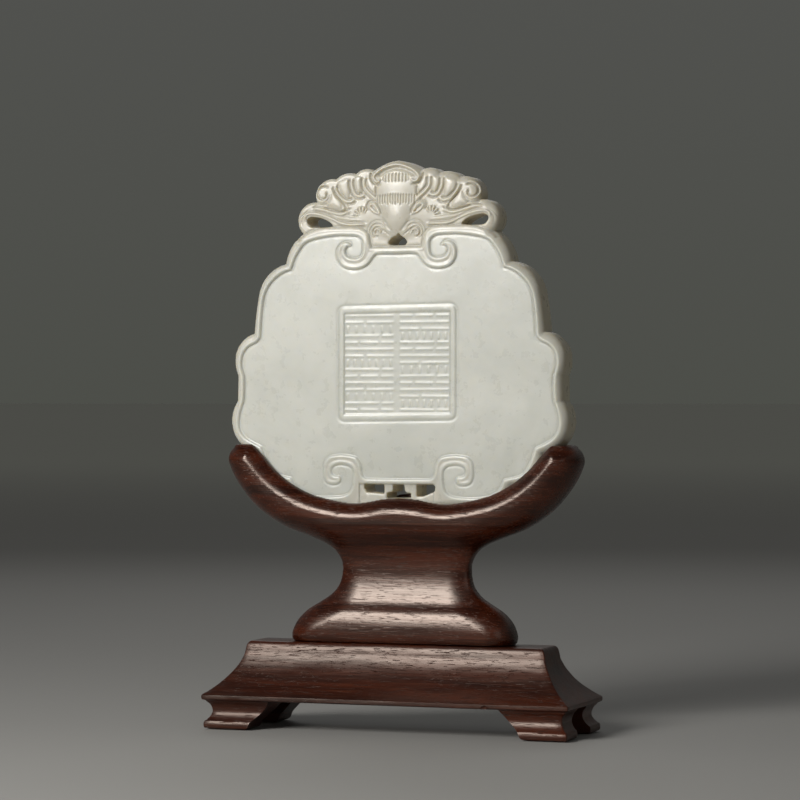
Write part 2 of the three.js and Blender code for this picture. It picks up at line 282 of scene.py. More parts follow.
def grid_mesh(name, relief, edge, foot_x, foot_z, front, back):
    """A closed mesh between two depths, cut off along edge = 0. front and back are given a function
    that reads grid values at the mesh's points, and return y in millimetres."""
    x, z, e = relief.x.ravel().copy(), relief.z.ravel().copy(), edge.ravel().copy()
    snap = 0.3 * min(np.diff(relief.xs).min(), np.diff(relief.zs).min())
    close = np.abs(e) < snap
    x[close], z[close], e[close] = foot_x.ravel()[close], foot_z.ravel()[close], 0.0
    rows, cols = relief.x.shape
    index = np.arange(rows * cols).reshape(rows, cols)
    a, b, c, d = index[:-1, :-1], index[:-1, 1:], index[1:, 1:], index[1:, :-1]
    corners = [(a, b, c), (a, c, d)]
    triangles = np.vstack([np.column_stack([p.ravel() for p in three]) for three in corners])
    state = np.sign(e)[triangles]
    touches = (state > 0).any(1)
    crossed = touches & (state < 0).any(1)
    whole = triangles[touches & ~crossed]

    cuts, made, extra = {}, [], []

    def crossing(i, j):
        key = (min(i, j), max(i, j))
        if key not in cuts:
            cuts[key] = len(e) + len(made)
            share = e[i] / (e[i] - e[j])
            made.append((i, j, share))
        return cuts[key]

    for triangle in triangles[crossed].tolist():
        polygon = []
        for i, j in zip(triangle, [*triangle[1:], triangle[0]]):
            if e[i] >= 0:
                polygon.append(i)
            if e[i] * e[j] < 0:
                polygon.append(crossing(i, j))
        extra += [(polygon[0], p, q) for p, q in zip(polygon[1:], polygon[2:])]
    first = np.array([m[0] for m in made], int)
    second = np.array([m[1] for m in made], int)
    share = np.array([m[2] for m in made])

    def with_cuts(values):
        values = values.ravel()
        return np.concatenate([values, values[first] * (1 - share) + values[second] * share])

    faces = np.vstack([whole, np.array(extra, int)])
    x, z = with_cuts(x), with_cuts(z)
    y_front, y_back = front(with_cuts), back(with_cuts)
    used, faces = np.unique(faces, return_inverse=True)
    faces = faces.reshape(-1, 3)
    count = len(used)
    starts = faces.ravel()
    ends = np.roll(faces, -1, axis=1).ravel()
    lone = ~np.isin(starts * count + ends, ends * count + starts)
    s, t = starts[lone], ends[lone]
    walls = np.vstack([np.column_stack([t, s, s + count]), np.column_stack([t, s + count, t + count])])
    points = [np.column_stack([x[used], y[used], z[used]]) for y in (y_front, y_back)]
    everything = np.vstack([faces, faces[:, ::-1] + count, walls])
    return mesh_object(name, np.vstack(points), everything)


def in_scene(name, data):
    piece = bpy.data.objects.new(name, data)
    bpy.context.scene.collection.objects.link(piece)
    return piece


def from_bmesh(name, mesh):
    data = bpy.data.meshes.new(name)
    mesh.to_mesh(data)
    mesh.free()
    return in_scene(name, data)


def mesh_object(name, points_mm, triangles):
    mesh = bpy.data.meshes.new(name)
    mesh.vertices.add(len(points_mm))
    mesh.vertices.foreach_set("co", (np.asarray(points_mm) * MM).astype(np.float32).ravel())
    mesh.loops.add(3 * len(triangles))
    mesh.loops.foreach_set("vertex_index", np.asarray(triangles, np.int32).ravel())
    mesh.polygons.add(len(triangles))
    mesh.polygons.foreach_set("loop_start", np.arange(len(triangles), dtype=np.int32) * 3)
    mesh.update(calc_edges=True)
    mesh.validate()
    return in_scene(name, mesh)


def applied(piece):
    """Turns the piece's modifiers into its mesh."""
    seen = piece.evaluated_get(bpy.context.evaluated_depsgraph_get())
    made = bpy.data.meshes.new_from_object(seen)
    piece.modifiers.clear()
    piece.data = made
    return piece


def thinned(piece, most):
    """Merges triangles where the surface is nearly flat, until the piece is light enough."""
    count = len(piece.data.polygons)
    if count > most:
        piece.modifiers.new("thin", "DECIMATE").ratio = most / count
        applied(piece)
    return piece


def smooth(piece, sharp_angle=None):
    """Shades the piece smooth, apart from edges sharper than the angle in degrees."""
    piece.data.polygons.foreach_set("use_smooth", [True] * len(piece.data.polygons))
    if sharp_angle is not None:
        piece.data.set_sharp_from_angle(angle=math.radians(sharp_angle))
    piece.data.update()
    return piece


def cut_away(piece, *tools):
    for tool in tools:
        boolean = piece.modifiers.new("cut", "BOOLEAN")
        boolean.operation, boolean.solver, boolean.object = "DIFFERENCE", "EXACT", tool
    applied(piece)
    for tool in tools:
        bpy.data.objects.remove(tool)
    return piece


# ---- The jade plaque's outline ----
# (end of the lobe, how far its arc bulges out), down the right side from the peak
LOBES = [
    ((5.2, 116.3), 0.35),
    ((9.2, 115.7), 0.7),
    ((13.6, 114.7), 0.65),
    ((17.9, 109.95), 1.9),
    ((21, 103.4), 2.6),
    ((24.8, 97.1), 0.75),
    ((30.9, 90.8), 1.35),
    ((31.95, 82.6), 0.12),
    ((36.2, 78.2), 0.85),
    ((35.65, 73.7), 0.35),
    ((35.75, 68.4), 0),
    ((31.8, 57.4), 3.1),
    ((25.2, 50.7), 2),
    ((19.5, 46.5), 1.1),
    ((0, PLAQUE_BOTTOM), 0),
]
BAR_TOP = 100.2  # the straight bar between the upper scrolls
BAR_FOOT = 99.0
TRACERY_TOP = 52.1  # the straight bar between the lower scrolls
LEFT_SCROLL_SHIFT = 0.8  # the lower left scroll is cut a little nearer the middle

RIM_ROLL_LEFT = 0.8  # rounding of the outer edge at the front
RIM_ROLL_RIGHT = 1.9
BACK_ROLL = 0.9
HOLE_ROLL = 0.3
PANEL_DEPTH = 0.34
PANEL_LIP = 0.06  # the bead along the panel's edge
PANEL_GROOVE = 0.11  # the line cut at its foot
FINIAL_DROP = 0.42  # how far the bat's ground lies below the rim
FINIAL_LIP = 0.05
FINIAL_GROOVE = 0.16
RIM_SLOPE = 0.16  # how far the rim falls towards the outline
TRACERY_DROP = 0.3


def plaque_outline():
    """The lobed outline of the whole stone, with the bat at its top."""
    start, runs = (0, PLAQUE_TOP), []
    for end, bulge in LOBES:
        runs.append(arc(start, end, bulge)[:-1])
        start = end
    right = np.vstack([*runs, [start]])
    return both_halves(right)


def plaque_holes():
    """The openings right through the stone: two under the wings, one under the chin, and three in
    the tracery at the foot."""
    wing = [(14.1, 104.85), (14.7, 105.6), (15.8, 106.25), (17.3, 106.75), (19.1, 106.95), (20, 106.4)]
    wing += [(19.9, 105.6), (19.3, 104.85), (18.4, 104.65), (16, 104.7)]
    chin = [(0.55, 103.25), (0.95, 102.7), (1.9, 102.0), (2.3, 101.3), (1.9, 100.72), (0, 100.7)]
    chin += [(-1.6, 100.72), (-1.9, 101.3), (-1.2, 102.2), (0.05, 102.7)]
    right_foot = [(4.4, 48.6), (4.4, 51.0), (7.9, 51.1), (8.5, 50.8), (8.4, 49.7), (5.9, 48.7)]
    left_foot = [(-2.75, 49.15), (-2.75, 51.0), (-7.1, 51.05), (-7.2, 50.3), (-6.6, 49.4), (-4.5, 49.3)]
    stem = [(-2.2, 48.25), (-2.1, 49.3), (-0.9, 49.6), (-0.75, 51.0), (1.65, 51.0), (1.75, 49.7)]
    stem += [(2.2, 49.35), (3.1, 49.25), (3.1, 48.25)]
    loops = [flipped(rounded_loop(wing, 0.4), side) for side in (1, -1)]
    loops += [rounded_loop(chin, 0.3), rounded_loop(stem, 0.2)]
    return loops + [rounded_loop(right_foot, 0.3), rounded_loop(left_foot, 0.3)]


def rounded_loop(corners, radius, steps=4):
    """A closed loop with every corner cut by a small arc."""
    corners = np.asarray(corners, float)
    points = []
    for before, here, after in zip(np.roll(corners, 1, axis=0), corners, np.roll(corners, -1, axis=0)):
        back, ahead = before - here, after - here
        reach = min(radius, 0.45 * np.linalg.norm(back), 0.45 * np.linalg.norm(ahead))
        start = here + back / np.linalg.norm(back) * reach
        end = here + ahead / np.linalg.norm(ahead) * reach
        for t in np.linspace(0, 1, steps + 1):
            points.append((1 - t) ** 2 * start + 2 * t * (1 - t) * here + t**2 * end)
    return np.array(points)


def panel_half(scroll_shift):
    """The right half of the sunken panel's edge, with the channels that wind into the scrolls."""
    upper_scroll = [(0, BAR_FOOT), (4.0, BAR_FOOT), (5.1, 98.4), (6.1, 97.1), (7.5, 96.2), (9.5, 95.9)]
    upper_scroll += [(11.6, 96.4), (12.7, 97.6), (13.05, 99), (12.85, 100.2), (12.2, 101.05)]
    upper_scroll += [(11.2, 101.4), (10.4, 101.15), (10.15, 100.8)]
    eye = [(10.15, 100.8), (10.85, 100.6), (11.35, 99.9), (11.2, 98.9), (10.3, 98.2), (8.8, 98.05)]
    eye += [(7.7, 98.6), (7.3, 99.6), (7.3, 101.3), (7.8, 102.25), (8.9, 102.8), (11, 102.95)]
    eye += [(14.2, 102.9), (18.4, 102.25), (20.4, 101.4), (21.7, 99.9), (22.7, 98.2), (23.5, 96)]
    shoulder = [(23.5, 96), (25, 95.5), (26.6, 94.6), (28.1, 93.2), (29.2, 91.5), (29.8, 89.6)]
    shoulder += [(30.15, 87), (30.4, 84), (30.5, 81.8)]
    ear = [(30.5, 81.8), (31.4, 80.8), (33, 80), (34.2, 78.8), (34.75, 77.2), (34.75, 75.5)]
    ear += [(34.2, 73.5)]
    side = [(34.2, 73.5), (34.15, 71), (34.3, 68.3)]
    hip = [(34.3, 68.3), (35, 66.2), (35.35, 64.2), (35.1, 62.2), (33.9, 60.6), (32.2, 59.6)]
    hip += [(30.3, 58.7)]
    foot = [(30.3, 58.7), (29.4, 56.4), (28.3, 54.3), (27.2, 53.2), (25.4, 52.6), (23.5, 52.2)]
    toe = [(23.5, 52.2), (22.4, 50.1), (20.5, 48.8), (17.2, 48.3)]
    lower_eye = [(14, 48.4), (12.2, 48.7), (11, 49.4), (10.4, 50.6), (10.2, 52.2), (10.25, 53.8)]
    lower_eye += [(10.7, 54.6), (11.6, 55.1), (13.2, 55.3), (14.5, 55), (15.15, 54.4), (15.3, 53.7)]
    lower_eye += [(15.0, 53), (14.3, 52.65), (13.6, 52.7)]
    lower_scroll = [(13.6, 52.7), (13.2, 52.3), (13.3, 51.6), (14, 51.15), (15.2, 51.1), (16.2, 51.5)]
    lower_scroll += [(16.7, 52.5), (16.8, 54), (16.65, 55.5), (16, 56.4), (15, 56.9), (12.5, 57.1)]
    lower_scroll += [(10, 56.7), (9.2, 56), (8.7, 55), (8.5, 53.5), (8.1, 52.6), (7.4, 52.15)]

    lower_eye = moved(lower_eye, -scroll_shift, 0)
    lower_scroll = moved(lower_scroll, -scroll_shift, 0)
    bar = [lower_scroll[-1], (0, TRACERY_TOP)]
    runs = [upper_scroll, eye, shoulder, ear, side, hip, foot, toe + lower_eye, lower_scroll, bar]
    return joined(*runs)


def finial_loop():
    """Everything above the rim and the straight bar: the ground that the bat is cut from."""
    bar = [(0, BAR_TOP), (5.6, BAR_TOP + 0.05)]
    bend = [(5.6, BAR_TOP + 0.05), (5.95, 101.2), (6.35, 103), (7.3, 103.95), (9, 104.35), (14, 104.45)]
    bend += [(17, 104.25), (19.2, 103.6), (20.9, 102.6), (21.6, 101.8)]
    lower = joined(bar, bend)
    right = np.vstack([lower, [(30, 103), (30, 125), (0, 125)]])
    return both_halves(right)


# ---- The bat ----
BAT_BOLDNESS = 1.35  # how strongly the bat is modelled


def carve_bat(relief):
    relief.dome((0, 112.4), (8, 6.6), 0.52)
    relief.dome((0, 106.8), (9, 5.4), 0.36)
    relief.dome((0, 105.6), (4.2, 4.6), 0.24)
    carve_hood(relief)
    for side in (1, -1):
        carve_wing(relief, side)
        carve_arm(relief, side)
        carve_face(relief, side)
    carve_fur(relief)
    relief.height *= BAT_BOLDNESS


def carve_hood(relief):
    """The hood over the brow, its ends curled under, and the hollow inside it."""
    hood = [(0, 117.5), (2.3, 117.0), (3.8, 116.25), (4.75, 115.4), (4.95, 114.8), (4.65, 114.2)]
    hood += [(4.1, 113.95), (3.6, 114.15), (3.4, 114.6)]
    inner = [(0, 116.75), (1.9, 116.35), (3.2, 115.75), (4.0, 115.1), (3.9, 114.75)]
    outer = [(5.75, 116.0), (5.65, 114.7), (5.0, 113.75), (4.1, 113.4), (3.2, 113.45)]
    relief.stroke(smooth_curve(both_ways(inner)), 0.72, -0.4, fade=(0.08, 0.08))
    relief.stroke(smooth_curve(both_ways(hood)), 0.34, 0.32, fade=(0.03, 0.03))
    for side in (1, -1):
        relief.stroke(on_side(outer, side), 0.4, -0.45, fade=(0.1, 0.25))


def carve_fur(relief):
    """The tufts on the crown and the row of hair across the back."""
    for k in range(7):
        x = (k - 3) * 0.76
        relief.stroke([(x, 113.7), (x * 0.98, 115.9)], 0.2, -0.3, fade=(0.25, 0.3))
    for k in range(15):
        x = (k - 7) * 0.585
        top, foot = 111.5 - 0.012 * x * x, 109.0 + 0.25 * math.cos(k * 2.4)
        relief.stroke([(x, top), (x * 0.985, foot)], 0.19, -0.3, fade=(0.2, 0.35))
    for side in (1, -1):
        relief.stroke([(side * 4.5, 110.7), (side * 4.5, 113.3)], 0.3, -0.35, fade=(0.3, 0.2))
        relief.stroke([(side * 2.8, 113.9), (side * 2.65, 116.0)], 0.2, -0.2, fade=(0.3, 0.3))


def carve_wing(relief, side):
    """Membranes puffed between long fingers, and the curl at the wing tip."""
    near_finger = [(7.2, 115.0), (7.2, 113.3), (6.8, 112.5), (6.2, 111.8), (5.4, 111.1), (4.6, 110.4)]
    middle_finger = [(10, 114.8), (9.95, 113.3), (9.6, 112.2), (9.1, 111.45), (8.5, 111.05)]
    middle_finger += [(7.7, 111.1), (7.0, 111.5)]
    far_finger = [(13.8, 113.4), (13.3, 111.9), (12.4, 110.95), (11.6, 110.3), (10.8, 109.95)]
    far_finger += [(9.9, 110.05), (9.3, 110.6)]
    lower = [(14.0, 112.7), (13.3, 111.4), (12.3, 110.2), (11.5, 109.2), (11.35, 108.4), (12, 107.95)]
    lower += [(13.2, 107.9), (14.8, 108.35), (16.4, 108.95)]
    panels = [
        ([(5.9, 115.4), (6.9, 115.2), (6.9, 113.4), (6.3, 112.3), (5.4, 111.6), (4.9, 112.2)], 0.12),
        ([(7.7, 115.3), (9.5, 115.1), (9.5, 113.3), (9.0, 112), (8.3, 111.5), (7.7, 112.2)], 0.2),
        ([(10.5, 115), (13.2, 114.1), (12.9, 112.2), (11.6, 110.9), (10.6, 110.5), (10.3, 112.4)], 0.22),
        ([(14.2, 112.2), (14.9, 110.4), (15.6, 109.3), (13.6, 108.4), (12, 108.5), (12.4, 109.9)], 0.18),
    ]  # each with how far it is puffed up
    for loop, rise in panels:
        relief.pillow(flipped(rounded_loop(loop, 0.8), side), rise, 1.3)
    for line in (near_finger, middle_finger, far_finger):
        relief.finger(on_side(line, side))
    relief.stroke(on_side(lower, side), 0.34, -0.34, fade=(0.08, 0.1))
    relief.stroke(on_side(moved(lower[:-3], -0.55, -0.25), side), 0.26, 0.12, fade=(0.15, 0.25))
    curl = spiral((16.3, 111.6), (1.75, 0.55), (135, -235), side)
    ridge = spiral((16.3, 111.6), (2.15, 1.05), (120, -190), side)
    relief.stroke(curl, 0.34, -0.38, fade=(0.1, 0.1))
    relief.stroke(ridge, 0.3, 0.16, fade=(0.15, 0.1))
    relief.stroke(on_side([(15.6, 109.5), (16.6, 109.35), (17.9, 109.6)], side), 0.3, -0.2)


def carve_arm(relief, side):
    """The long arm that sweeps out over the opening and hooks down behind it."""
    upper = [(9.9, 108.1), (11.8, 107.45), (13, 107.5), (14.4, 107.85), (15.7, 108.2), (17, 108.5)]
    upper += [(18, 108.6), (18.9, 108.2)]
    lower = [(6.4, 105.1), (8, 105.15), (9.5, 105.15), (11, 105.2), (12.5, 105.6), (13.7, 106.15)]
    lower += [(15.2, 106.8), (17, 107.35), (18.6, 107.6), (19.8, 107.45), (20.35, 106.8), (20.3, 106)]
    off = 0.5  # how far above and below each ridge its grooves run
    relief.stroke(on_side(upper, side), 0.3, 0.2, fade=(0.2, 0.15))
    relief.stroke(on_side(moved(upper, 0, off), side), 0.3, -0.26, fade=(0.1, 0.1))
    relief.stroke(on_side(moved(upper, 0, -off), side), 0.3, -0.18, fade=(0.2, 0.3))
    relief.stroke(on_side(lower, side), 0.32, 0.24, fade=(0.1, 0.05))
    relief.stroke(on_side(moved(lower[:-2], 0, off), side), 0.3, -0.2, fade=(0.2, 0.3))
    relief.stroke(on_side(moved(lower[:6], 0, -off), side), 0.36, -0.24, fade=(0.2, 0.3))
    for shift in (0.0, 0.62):
        middle = [(7.6, 106.1 + shift * 0.7), (10.5, 106.3 + shift), (13, 106.85 + shift * 0.6)]
        middle += [(15.8, 107.65 + shift * 0.3), (17.2, 108.0)]
        relief.stroke(on_side(middle, side), 0.22, 0.12, fade=(0.2, 0.3))
    for shift in (0.0, 0.8):
        hook = [(18.9 + shift * 0.6, 108.2 + shift * 0.4), (20.6 + shift * 0.7, 107.2)]
        hook += [(21.2 + shift, 105.9), (20.9 + shift * 0.8, 104.7)]
        relief.stroke(on_side(hook, side), 0.24, -0.12, fade=(0.3, 0.3))


def carve_face(relief, side):
    """The ear, the tufts beside it, the curls at the cheek, and the jaw."""
    ear = [(3.6, 107.3), (4.2, 108.6), (4.9, 109.35), (5.7, 109.3), (5.9, 108.8), (5.4, 108.1)]
    ear += [(4.6, 107.5), (3.7, 107.25)]
    relief.pillow(on_side(ear, side), 0.14, 0.6)
    relief.stroke(on_side(ear, side), 0.24, 0.16)
    relief.stroke(on_side([(4.2, 107.8), (4.9, 108.5), (5.4, 108.9)], side), 0.26, -0.3)
    around = [(3.1, 107.0), (3.6, 108.6), (4.7, 109.9), (6.0, 109.9), (6.6, 109.0), (6.2, 107.9)]
    relief.stroke(on_side(around, side), 0.3, -0.26, fade=(0.15, 0.1))
    root = np.array([7.5, 106.7])
    for k in range(5):
        angle = math.radians(118 - 24 * k)
        ray = np.array([math.cos(angle), math.sin(angle)])
        line = [root + ray * 0.7, root + ray * (2.5 - 0.15 * abs(k - 2))]
        relief.stroke(flipped(line, side), 0.24, 0.22, fade=(0.4, 0.3))
        turn = math.radians(12)
        off = np.array([math.cos(angle - turn), math.sin(angle - turn)])
        relief.stroke(flipped([root + off * 0.8, root + off * 2.3], side), 0.2, -0.22, fade=(0.3, 0.3))
    cheek = (4.2, 103.45)
    curls = ((0.75, 0.26, (200, -110)), (1.5, 0.13, (165, -60)), (2.25, 0.1, (150, -35)))
    for radius, rise, sweep in curls:
        line = spiral(cheek, (radius, radius * 0.8), sweep, side)
        relief.stroke(line, 0.25, rise, fade=(0.1, 0.15))
        line = spiral(cheek, (radius + 0.4, (radius + 0.4) * 0.82), sweep, side)
        relief.stroke(line, 0.25, -rise * 0.6, fade=(0.15, 0.2))
    jaw = [(0.5, 103.5), (1.6, 104.3), (2.6, 105.6), (3.4, 106.9)]
    relief.stroke(on_side(jaw, side), 0.5, -0.13, fade=(0.4, 0.4))
    for k in range(3):
        hatch = [(1.5 + 0.45 * k, 102.7 + 0.3 * k), (2.2 + 0.4 * k, 103.5 + 0.35 * k)]
        relief.stroke(flipped(hatch, side), 0.17, -0.14, fade=(0.3, 0.3))


# ---- The seal square, with rows of shallow strokes ----
SEAL_CENTRE = (0.1, 76.2)
SEAL_HALF = (13.0, 12.0)
SEAL_BAND = 1.15  # width of the frame
SEAL_BAND_RISE = 0.07
SEAL_GROUND_DROP = 0.08
SEAL_ROWS = 15
SEAL_STROKE = 0.44  # half width of a stroke
SEAL_STROKE_RISE = 0.042
SEAL_COLUMNS = ((-11.2, -0.9), (0.95, 11.2))


def carve_seal(relief):
    """A raised frame round a slightly sunken ground with two columns of strokes."""
    cx, cz = SEAL_CENTRE
    half_x, half_z = SEAL_HALF
    corners = [(cx - half_x, cz - half_z), (cx + half_x, cz - half_z + 0.35)]
    corners += [(cx + half_x, cz + half_z + 0.15), (cx - half_x, cz + half_z - 0.2)]
    frame_loop = rounded_loop(corners, 1.7, steps=8)
    distance, _, _ = relief.signed(frame_loop, 3.0)
    band = smooth_step(distance, 0.0, 0.4) - smooth_step(distance, SEAL_BAND - 0.1, SEAL_BAND + 0.3)
    relief.height += SEAL_BAND_RISE * band
    relief.height -= 0.05 * bell((distance + 0.2) / 0.42)
    relief.height -= SEAL_GROUND_DROP * smooth_step(distance, SEAL_BAND, SEAL_BAND + 0.4)
    low, high = cz - half_z + 2.3, cz + half_z - 2.1
    pitch = (high - low) / (SEAL_ROWS - 1)
    for column, (left, right) in enumerate(SEAL_COLUMNS):
        for row in range(SEAL_ROWS):
            z = high - pitch * row
            for line in stroke_row(left, right, z, pitch, row + 4 * column):
                relief.stroke(line, SEAL_STROKE, SEAL_STROKE_RISE)


def stroke_row(left, right, z, pitch, turn):
    """One row of strokes in a plain changing rhythm: long and short ones lying down, or a run of
    short upright ones."""
    kind = turn % 5
    if kind == 2:
        count = 6 + turn % 2
        for k in range(count):
            x = left + 0.4 + (right - left - 0.8) * k / (count - 1)
            yield [(x, z - 0.33 * pitch), (x, z + 0.33 * pitch)]
        return
    shares = {0: (1.0,), 1: (0.42, 0.58), 3: (0.72, 0.28), 4: (0.3, 0.4, 0.3)}[kind]
    gap, start = 1.1, left
    tilt = 0.06 * math.sin(3.1 * turn)
    for share in shares:
        end = start + (right - left + gap) * share - gap
        yield [(start, z - tilt), (end, z + tilt)]
        start = end + gap


# ---- Building the plaque ----
def plaque():
    """The whole stone: its panel, rim, scrolls, seal and bat, cut from one grid."""
    fine, middle, plain = 0.14, 0.18, 0.24
    half_width = PLAQUE_HIGH[0] + 0.3
    across = [(-half_width, -21.6, middle), (-21.6, 21.6, fine), (21.6, half_width, middle)]
    up = [(PLAQUE_BOTTOM - 0.3, 58, middle), (58, 62.5, plain), (62.5, 89, middle)]
    up += [(89, 95.5, plain), (95.5, PLAQUE_TOP + 0.3, fine)]
    relief = Relief(graded(across), graded(up))

    reach = 3.0  # distances to the outlines are measured no further than this
    outer, foot_x, foot_z = relief.signed(plaque_outline(), reach)
    edge = outer.copy()
    hole = np.full(edge.shape, reach)
    for loop in plaque_holes():
        distance, near_x, near_z = relief.signed(loop, reach)
        hole = np.minimum(hole, -distance)
        nearer = -distance < edge
        edge = np.where(nearer, -distance, edge)
        foot_x, foot_z = np.where(nearer, near_x, foot_x), np.where(nearer, near_z, foot_z)

    panel_loop = both_halves(panel_half(0.0), panel_half(LEFT_SCROLL_SHIFT))
    panel, _, _ = relief.signed(panel_loop, reach)
    finial, _, _ = relief.signed(finial_loop(), reach)
    carve_bat(relief)
    relief.height *= smooth_step(finial, 0.0, 0.6)
    relief.height -= FINIAL_DROP * smooth_step(finial, -0.12, 0.22)
    relief.height -= FINIAL_GROOVE * bell((finial - 0.35) / 0.3)
    relief.height += FINIAL_LIP * bell((finial + 0.5) / 0.4)
    carve_seal(relief)
    cut = 0.55 + 0.45 * smooth_step(relief.z, 56, 72)  # the lower scrolls are the most worn
    relief.height -= PANEL_DEPTH * cut * smooth_step(panel, -0.2, 0.32)
    relief.height += PANEL_LIP * cut * bell((panel + 0.4) / 0.34)
    relief.height -= PANEL_GROOVE * cut * bell((panel - 0.26) / 0.3)
    outwards = np.where(finial > 0, 0, np.clip(-panel, 0, reach))
    relief.height -= RIM_SLOPE * smooth_step(outwards, 0.5, 2.2)
    tracery = (np.abs(relief.x) < 8.2) & (relief.z < TRACERY_TOP)
    sunk = TRACERY_DROP * smooth_step(TRACERY_TOP - relief.z, 0.7, 1.1)
    relief.height -= np.where(tracery, sunk, 0)

    thick = PLAQUE_HALF_THICK
    highest = relief.height[edge > 0].max()
    rim_roll = RIM_ROLL_LEFT + (RIM_ROLL_RIGHT - RIM_ROLL_LEFT) * smooth_step(relief.x, -12, 12)

    def front(with_cuts):
        outside = with_cuts(outer)
        rounded = rolled(np.clip(outside, 0, None), with_cuts(rim_roll))
        rounded += rolled(np.clip(with_cuts(hole), 0, None), HOLE_ROLL)
        return -(thick - highest + with_cuts(relief.height) - rounded)

    def back(with_cuts):
        rounded = rolled(np.clip(with_cuts(outer), 0, None), BACK_ROLL)
        rounded += rolled(np.clip(with_cuts(hole), 0, None), HOLE_ROLL)
        return thick - rounded

    piece = grid_mesh("plaque_carved", relief, edge, foot_x, foot_z, front, back)
    smooth(thinned(piece, PLAQUE_TRIANGLES))
    piece.modifiers.new("flat_stays_flat", "WEIGHTED_NORMAL").weight = 60
    applied(piece)
    warm = 0.55 * smooth_step(-panel, 0.0, 1.2) + 0.25 * smooth_step(finial, 0, 1.0)
    shade_by_grid(piece, relief, "warm", warm)
    # The hollow values paint shade into the grooves and a highlight onto the ridges, in the jade's
    # colour.
    shade_by_grid(piece, relief, "hollow", hollows(relief, 0.55))
    piece.data.materials.append(jade_material())
    return piece


def hollows(relief, reach):
    """How far each point lies below the average height around it: grooves above 0, ridges below."""
    around = relief.height
    for axis, places in ((1, relief.xs), (0, relief.zs)):
        total = np.cumsum(around, axis=axis)
        low = np.clip(np.searchsorted(places, places - reach), 1, None)
        high = np.clip(np.searchsorted(places, places + reach), None, len(places) - 1)
        span = (high - low + 1).reshape((1, -1) if axis else (-1, 1))
        around = (total.take(high, axis) - total.take(low - 1, axis)) / span
    return around - relief.height


def shade_by_grid(piece, relief, name, values):
    """Stores a value for each point of a piece, read off the carving grid."""
    mesh = piece.data
    co = np.empty(len(mesh.vertices) * 3, np.float32)
    mesh.vertices.foreach_get("co", co)
    co = co.reshape(-1, 3) / MM
    cols = np.clip(np.searchsorted(relief.xs, co[:, 0]), 0, len(relief.xs) - 1)
    rows = np.clip(np.searchsorted(relief.zs, co[:, 2]), 0, len(relief.zs) - 1)
    attribute = mesh.attributes.new(name, "FLOAT", "POINT")
    attribute.data.foreach_set("value", values[rows, cols].astype(np.float32))


# ---- The cradle and its pedestal ----
SEAT_LIP = 4.3  # half depth of the flat lip beside the stone
LIP_STEEPNESS = 1.25  # how fast the crescent gets deeper below its lip
FLANK_REACH, TOP_REACH = 5.2, 2.8  # how far in the flanks and the horns' ends are rounded
FLANK_EDGE = 0.8  # half depth left at the flanks
TOP_EDGE = 3.8  # half depth left at the horns' ends
REAR_LIP_RISE = 0.9
FOOT_Z = BOARD_TOP + 0.02

# (half width, height) up the side of the pedestal, under the crescent and round the horn's end
CRADLE_SIDE = [
    (24.0, FOOT_Z), (24.45, 18.7), (24.4, 20.2), (23.3, 22.6), (21.3, 24.7), (18.8, 26.3),
    (16.3, 28), (14.6, 30.2), (14.0, 33.1), (14.3, 35.2), (15.6, 37.2), (17.7, 38.6), (20.6, 39.8),
    (24.5, 41.2), (27.3, 42.5), (30.2, 44.3), (32.8, 46.4), (35.2, 49.1), (37.2, 52), (38.4, 54.6),
    (38.75, 56.3), (38.2, 57.9), (37.1, 59), (35.7, 59.45), (34.0, 59.4),
]
# (half width, height) from the horn's end down along the crest to the middle
CREST = [
    (34.0, 59.4), (32.7, 59.2), (30.6, 57.2), (28.6, 54.9), (26.2, 52.7), (23.7, 51), (20.3, 49.3),
    (17, 48.3), (13, 47.5), (10, 47.2), (7, 47.5), (3.5, 48.1), (0, 48.3),
]
HORN_SHOULDER = 58.8  # above this height the horns' ends round over
# How far the middle stands off the board's middle at each height: the carving is not quite true
MIDDLE = [(18, 0.57), (26, 1.0), (33, 1.3), (40, 1.0), (46, 0.7), (60, 0.6)]
CREST_MIDDLE = 1.0
# Half depth of the pedestal at each height
PEDESTAL_DEPTH = [
    (18, 4.35), (18.15, 4.6), (18.6, 4.9), (19.3, 5.1), (20.4, 5.2), (21.6, 5.15), (22.8, 5.0),
    (23.8, 4.8), (24.6, 4.52), (25.3, 4.15), (26, 3.75), (27, 3.33), (28.5, 2.93), (30, 2.64),
    (31.5, 2.45), (33, 2.37), (34.5, 2.4), (36, 2.65), (37.5, 3.2), (39, 4.1), (40.5, 5.0),
    (42.5, 5.95), (44.5, 6.35), (60, 6.4),
]


def place_at(table, z):
    """Reads a (height, value) table at any heights, along a smooth curve through its rows."""
    heights, values = smooth_curve(table, 0.2).T
    return np.interp(z, heights, values)


